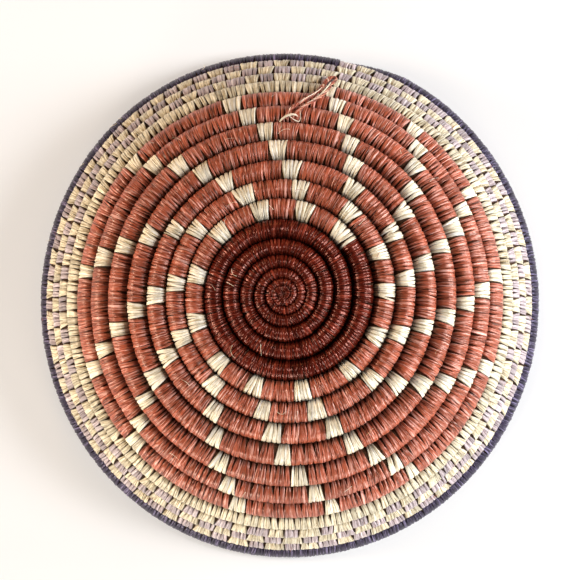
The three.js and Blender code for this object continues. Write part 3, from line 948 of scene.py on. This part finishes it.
class BASKET_OT_foundation(bpy.types.Operator):
    """Make the grass bundle that the coil is wound on"""

    bl_idname = "basket.foundation"
    bl_label = "Grass foundation"

    def execute(self, context):
        shape, stitches = settings()
        sides, per_turn, stalks = 56, 130, 18
        stalk_depth, spread_inside, lift = 0.2 * MM, 0.2 * MM, 0.1 * MM
        turn = np.linspace(shape.start_turn, shape.turns, int(shape.turns * per_turn))
        around = np.arange(sides) / sides * FULL_TURN
        place = turn[:, None] + 0 * around
        middle, half_width, half_thickness, azimuth = coil_section(shape, place)
        twist = 2.2 * slow_noise(turn, seed=21, per_turn=9)[:, None]
        stalk = stalk_depth * np.abs(np.cos(stalks / 2 * around + twist)) - stalk_depth / 2
        # On the inside of the bowl the bundles touch, so that nothing shows through
        front = ease(1 + 3 * np.sin(around))
        inset = np.minimum(stitches.core_inset, 0.3 * half_width) * front - stalk
        inset = inset - spread_inside * (1 - front)
        along_unit, out_unit = outline(shape, place, around)
        along = (half_width - inset) * along_unit
        out = (half_thickness - inset) * out_unit
        points = wall_points(shape, middle, azimuth, *rolled(shape, place, along, out))
        points[..., 2] = np.maximum(points[..., 2], lift)
        joined = np.ones(len(turn), bool)
        joined[-1] = False
        quads, caps = tube_faces(len(turn), sides, joined)
        steps = np.linalg.norm(np.diff(points[:, 0], axis=0, prepend=points[:1, 0]), axis=1)
        lay = np.zeros(points.shape)
        lay[..., 0] = around * shape.thickness / 2 / MM
        lay[..., 1] = np.cumsum(steps)[:, None] / MM
        layers = {"lay": lay.reshape(-1, 3)}
        flat = points.reshape(-1, 3)
        piece = new_mesh_object("grass_foundation", flat, quads[:, ::-1], caps[:, ::-1], layers)
        dress(piece, grass("dry grass stalks"), ["foundation_coil"])
        return {"FINISHED"}


class BASKET_OT_knot(bpy.types.Operator):
    """Make the wrapped centre from which the first round starts"""

    bl_idname = "basket.knot"
    bl_label = "Centre knot"

    def execute(self, context):
        shape, stitches = settings()
        rng = np.random.default_rng(17)
        ribs, per_rib, rings, lap = 19, 10, 26, 1.07
        rib_height, rib_spread, half_strip, lead, closing = 0.4, 0.1, 0.8, 0.7, 0.025
        edges = np.cumsum(rng.uniform(0.6, 1.4, ribs))
        edges = np.concatenate([[0], edges / edges[-1]])
        local = np.tile(np.linspace(-1, 1, per_rib, endpoint=False), ribs)
        part = np.repeat(edges[:-1], per_rib) + (local + 1) / 2 * np.repeat(np.diff(edges), per_rib)
        # The wrapping ends on the crest of the first round, so its edge winds outwards
        crest = coil_section(shape, shape.start_turn + part)[0]
        crest = mix(crest, crest[0], ease((part - 1 + closing) / closing))
        share = np.append(lap, np.linspace(1, 0.03, rings - 1))[:, None]
        radius = share * crest
        swirl = shape.seam_angle + (shape.start_turn + part) * FULL_TURN + lead * (1 - share) ** 2
        heights = np.repeat(rng.normal(0, rib_spread, ribs), per_rib)
        middle = clamp01(share / 0.3)
        rib = (rib_height * (1 - local**2) + heights) * MM * middle
        shares, profile = (0, 0.12, 0.3, 0.6, 1, lap), (0.1, 0.8, 1.5, 1.8, 1.95, 0.6)
        ridge, hollow, crease = self.marks(share, part, swirl, radius)
        dent = 0.9 * ridge - 0.9 * hollow - 0.8 * crease
        out = np.interp(share, shares, profile) * MM + rib + dent * MM
        points = wall_points(shape, radius, swirl, 0 * radius, out)
        joined = np.ones(rings, bool)
        joined[-1] = False
        quads, caps = tube_faces(rings, ribs * per_rib, joined)
        lay = np.empty(points.shape)
        lay[..., 0] = local * half_strip
        lay[..., 1] = radius / MM
        lay[..., 2] = np.repeat(rng.uniform(0, 1, ribs), per_rib)
        # Painted light: shade darker towards the very centre, in the hollow and in the crease, and
        # along the edges of each rib, and a painted highlight on the ridge of the first fold
        tone = mix(0.4, 1, middle) * mix(1, stitches.edge_shade, local**4)
        tone = tone * mix(1, 0.3, hollow) * mix(1, 1.4, ridge) * mix(1, 0.3, crease)
        layers = {"lay": lay.reshape(-1, 3), "tone": tone.ravel()}
        piece = new_mesh_object("centre_wrapping", points.reshape(-1, 3), quads, caps, layers)
        dress(piece, raffia("maroon dyed raffia"), ["centre_knot"])
        return {"FINISHED"}

    def marks(self, share, part, swirl, radius):
        """From 0 to 1: the first fold, which stands up on the left, the hollow inside it, and
        the crease that winds outwards between the knot and the first round. They shape the knot,
        and also paint shade into its hollow and crease and a highlight onto the fold."""
        fold = bell(swirl % FULL_TURN, math.radians(205), math.radians(38))
        ridge = fold * bell(radius / MM, 5.6, 0.9)
        hollow = fold * bell(radius / MM, 3.6, 1.1)
        crease = bell(share, mix(0.56, 0.9, part), 0.09) * ease(part / 0.12)
        return ridge, hollow, crease


class BASKET_OT_maroon(bpy.types.Operator):
    """Stitch the maroon rounds of the centre"""

    bl_idname = "basket.maroon"
    bl_label = "Maroon rounds"

    def execute(self, context):
        shape, stitches = settings()
        nodes = [f"maroon_wrap_{place}" for place in range(1, 7)]
        sew("maroon_stitches", MAROON, shape.start_turn, stitches.red_start, 31, *nodes)
        return {"FINISHED"}


class BASKET_OT_red(bpy.types.Operator):
    """Stitch the seven red rounds and their cream blocks"""

    bl_idname = "basket.red"
    bl_label = "Red rounds"

    def execute(self, context):
        stitches = context.scene.basket_stitches
        start, end, rounds = stitches.red_start, stitches.band_start, 7
        for place in range(1, rounds + 1):
            lower = end - place if place < rounds else start
            node = f"red_wrap_{place}"
            sew(f"red_stitches_{place}", RED, lower, end - place + 1, 40 + place, node)
        sew("cream_blocks", CREAM_ARM, start, end, 51, "carried_strand_cream")
        return {"FINISHED"}


class BASKET_OT_outer(bpy.types.Operator):
    """Stitch the cream round and the three checker rounds"""

    bl_idname = "basket.outer"
    bl_label = "Cream and lilac rounds"

    def execute(self, context):
        stitches = context.scene.basket_stitches
        start, end = stitches.band_start, stitches.checker_start
        sew("cream_band", CREAM_BAND, start, end, 61, "band_wrap_cream")
        for step, place in enumerate(("inner", "middle", "outer")):
            start, end = end, end + 1
            node = f"checker_wrap_{place}"
            sew(f"lilac_checks_{place}", LILAC_CHECK, start, end, 62 + step, node)
            node = "carried_strand_lilac"
            sew(f"cream_checks_{place}", CREAM_CHECK, start, end, 66 + step, node)
        return {"FINISHED"}


class BASKET_OT_rim(bpy.types.Operator):
    """Stitch the purple rim"""

    bl_idname = "basket.rim"
    bl_label = "Purple rim"

    def execute(self, context):
        shape, stitches = settings()
        start, end = stitches.rim_start, shape.turns
        sew("purple_rim_stitches", PURPLE, start, end, 71, "rim_wrap_purple")
        return {"FINISHED"}


def loop_point(shape, loop, drop, shift, out):
    """A point over the wall, from the loop's stitch: down the wall and to the right."""
    foot = groove(shape, loop.turn + (loop.azimuth - shape.seam_angle) / FULL_TURN)
    distance = foot + drop
    azimuth = loop.azimuth - shift / meridian(shape, distance)[0]
    return wall_points(shape, distance, azimuth, 0 * drop, out)


def loop_line(loop, share):
    """Middle line of the loop's cord: share 0 is the left foot, 0.5 the tip and 1 the
    right foot. Gives drop, shift and the share of the way from foot to tip."""
    tip = 0.06
    leg = 1 - np.abs(2 * share - 1)
    side = np.sign(share - 0.5)
    half = mix(loop.foot_spacing, loop.tip_spacing, ease(leg)) / 2
    half = half * np.sqrt(clamp01((1 - leg) / tip))
    aslant = np.array((-loop.skew, loop.drop)) / math.hypot(loop.skew, loop.drop)
    cross_drop = mix(0, aslant[0], ease(leg * 3))
    cross_shift = mix(1, aslant[1], ease(leg * 3))
    drop = loop.drop * leg + cross_drop * side * half
    shift = loop.skew * leg + cross_shift * side * half + loop.bow * np.sin(math.pi * leg) ** 2
    return drop, shift, leg


class BASKET_OT_loop(bpy.types.Operator):
    """Twist the hanging loop and sew it to the basket"""

    bl_idname = "basket.loop"
    bl_label = "Hanging loop"

    def execute(self, context):
        shape = context.scene.basket_shape
        loop = context.scene.basket_loop
        pale, slot = raffia("pale raffia of the loop"), "twisted_raffia"
        piece = strands("twisted_loop", *self.plies(shape, loop, (0, 1, 2)), 10, 0.8, 81)
        cord = raffia("red raffia twisted to a cord")
        dress(piece, cord, ["hanging_loop"], "loop")
        piece = strands("faded_ply", *self.plies(shape, loop, (3,)), 8, 0.7, 82)
        dress(piece, raffia("faded red raffia of the loop"), (), "loop")
        piece = strands("pale_loop_strand", *self.pale_strand(shape, loop), 8, 0.6, 83)
        dress(piece, pale, (), "loop")
        piece = strands("loop_sewing", *self.sewing(shape, loop), 8, 0.4, 85)
        dress(piece, pale, ["loop_stitch"])
        return {"FINISHED"}

    def plies(self, shape, loop, chosen):
        """The chosen ones of four plies. All are thin at the feet and thinner in the right
        leg, the third thins out past the tip, and the fourth is the faded, thin one."""
        foot, right_leg, thinned, faded = 0.42, 0.72, 0.3, 0.62
        share = np.linspace(0.0, 1.0, 170)
        drop, shift, leg = loop_line(loop, share)
        height = mix(loop.foot_height, loop.leg_height, ease(leg * loop.drop / loop.climb))
        walked = leg * math.hypot(loop.drop, loop.skew)
        walked = np.where(share > 0.5, 2 * walked.max() - walked, walked)
        slim = mix(1, right_leg, ease((share - 0.47) / 0.06)) * mix(foot, 1, ease(leg * 7))
        paths, radii = [], []
        for ply in chosen:
            angle = walked / loop.lay * FULL_TURN + ply * FULL_TURN / 4
            radius = loop.ply / 2 * slim * (1 + 0.14 * np.sin(angle * 0.7 + ply))
            if ply == 2:
                radius = radius * mix(1, thinned, ease((share - 0.5) / 0.05))
            if ply == 3:
                radius = radius * faded
            swing = 0.66 * loop.ply * slim
            sideways = swing * np.cos(angle)
            lift = height + 0.8 * swing * np.sin(angle)
            paths.append(loop_point(shape, loop, drop + 0.4 * sideways, shift + sideways, lift))
            radii.append(radius)
        return np.array(paths), np.array(radii)

    def pale_strand(self, shape, loop):
        """Undyed fibres that run loose along both legs: their start and end along the loop,
        the side of the leg in plies, and their width in millimetres."""
        paths, radii, stations = [], [], 60
        for start, end, side, width in ((0.1, 0.36, 0.6, 0.22), (0.6, 0.9, -0.4, 0.38)):
            share = np.linspace(start, end, stations)
            drop, shift = loop_line(loop, share)[:2]
            wave = np.sin(np.linspace(0, 5, stations))
            lift = loop.leg_height + (0.8 + 0.25 * wave) * loop.ply
            across = side * loop.ply * (1 + 0.5 * wave)
            paths.append(loop_point(shape, loop, drop, shift + across, lift))
            ends = np.sqrt(np.sin(np.linspace(0.15, 2.99, stations)))
            radii.append(np.full(stations, width * MM) * ends)
        return np.array(paths), np.array(radii)

    def sewing(self, shape, loop):
        """A flat pale strip sewn slantwise over the feet of the loop, and its thin end: five
        stations each, shift to the right, drop and height, and the width, in millimetres."""
        shifts = ((-5.6, -3.2, 0.4, 3.6, 5.4), (0.5, 3.0, 6.2, 6.8, 6.2))
        drops = ((-0.6, 0, 0.7, 1.4, 1.9), (0.4, -0.1, -0.2, 1.6, 5.0))
        heights = ((0.6, 4.6, 6.5, 6.2, 3.6), (5.8, 3.4, 1.8, 3.6, 5.6))
        stations, smoothing_passes = 60, 30
        step, known = np.linspace(0, 1, stations), np.linspace(0, 1, 5)
        paths, radii = [], []
        for *courses, width in zip(shifts, drops, heights, (0.62, 0.26)):
            courses = [np.interp(step, known, course) * MM for course in courses]
            for course in courses * smoothing_passes:
                course[1:-1] = (course[:-2] + course[1:-1] + course[2:]) / 3
            shift, drop, height = courses
            paths.append(loop_point(shape, loop, drop, shift, height))
            radii.append(width * MM * np.sqrt(np.sin(np.linspace(0.25, 2.9, stations))))
        return np.array(paths), np.array(radii)


class BASKET_OT_fibres(bpy.types.Operator):
    """Scatter the stray fibres that stand off the stitches"""

    bl_idname = "basket.fibres"
    bl_label = "Loose fibres"

    def execute(self, context):
        shape = context.scene.basket_shape
        count = context.scene.basket_loop.fibres
        rng = np.random.default_rng(91)
        turn = shape.turns * np.sqrt(rng.uniform(0.03, 0.93, count))
        azimuth = shape.seam_angle + turn * FULL_TURN
        middle, half_width, half_thickness = coil_section(shape, turn)[:3]
        run = rng.uniform(3, 9, count) * MM
        heading = rng.normal(0, 0.9, count)
        bend = rng.normal(0, 1.1, count)
        lift = rng.uniform(0.2, 1.6, count) * MM
        stations = 9
        step = np.linspace(0, 1, stations)
        turning = heading[:, None] + bend[:, None] * step
        down = np.cumsum(np.cos(turning), axis=1) / stations * run[:, None]
        sideways = np.cumsum(np.sin(turning), axis=1) / stations * run[:, None]
        distance = (middle - 0.4 * half_width)[:, None] + down
        azimuth = azimuth[:, None] + sideways / np.maximum(meridian(shape, distance)[0], 5 * MM)
        height = half_thickness[:, None] + 0.35 * MM + lift[:, None] * step**1.5
        paths = wall_points(shape, distance, azimuth, 0 * distance, height)
        radii = rng.uniform(0.07, 0.15, count)[:, None] * MM * mix(1, 0.5, step)
        pale = rng.uniform(0, 1, count) < 0.6
        piece = strands("stray_pale_fibres", paths[pale], radii[pale], 5, 0.7, 93)
        dress(piece, raffia("stray ends of undyed raffia"))
        piece = strands("stray_red_fibres", paths[~pale], radii[~pale], 5, 0.7, 95)
        dress(piece, raffia("stray ends of red raffia"))
        return {"FINISHED"}


GROUPS = {
    "basket_shape": BasketShape,
    "basket_stitches": BasketStitches,
    "basket_loop": BasketLoop,
    "basket_dyes": BasketDyes,
    "basket_stage": BasketStage,
}
STEPS = (
    BASKET_OT_stage,
    BASKET_OT_foundation,
    BASKET_OT_knot,
    BASKET_OT_maroon,
    BASKET_OT_red,
    BASKET_OT_outer,
    BASKET_OT_rim,
    BASKET_OT_loop,
    BASKET_OT_fibres,
)


class BASKET_PT_panel(bpy.types.Panel):
    """Sizes, colours and steps of the basket"""

    bl_idname = "BASKET_PT_panel"
    bl_label = "Coiled basket"
    bl_space_type = "VIEW_3D"
    bl_region_type = "UI"
    bl_category = "Basket"

    def draw(self, context):
        for group, kind in GROUPS.items():
            column = self.layout.column(align=True)
            for setting in kind.__annotations__:
                column.prop(getattr(context.scene, group), setting)
        for step in STEPS:
            self.layout.operator(step.bl_idname)


def register():
    for kind in (*GROUPS.values(), *STEPS, BASKET_PT_panel):
        bpy.utils.register_class(kind)
    for group, kind in GROUPS.items():
        setattr(bpy.types.Scene, group, PointerProperty(type=kind))


def unregister():
    for group in GROUPS:
        delattr(bpy.types.Scene, group)
    for kind in (BASKET_PT_panel, *reversed(STEPS), *reversed(GROUPS.values())):
        bpy.utils.unregister_class(kind)


def main():
    register()
    for step in STEPS:
        group, operator = step.bl_idname.split(".")
        getattr(getattr(bpy.ops, group), operator)()


if __name__ == "__main__":
    main()
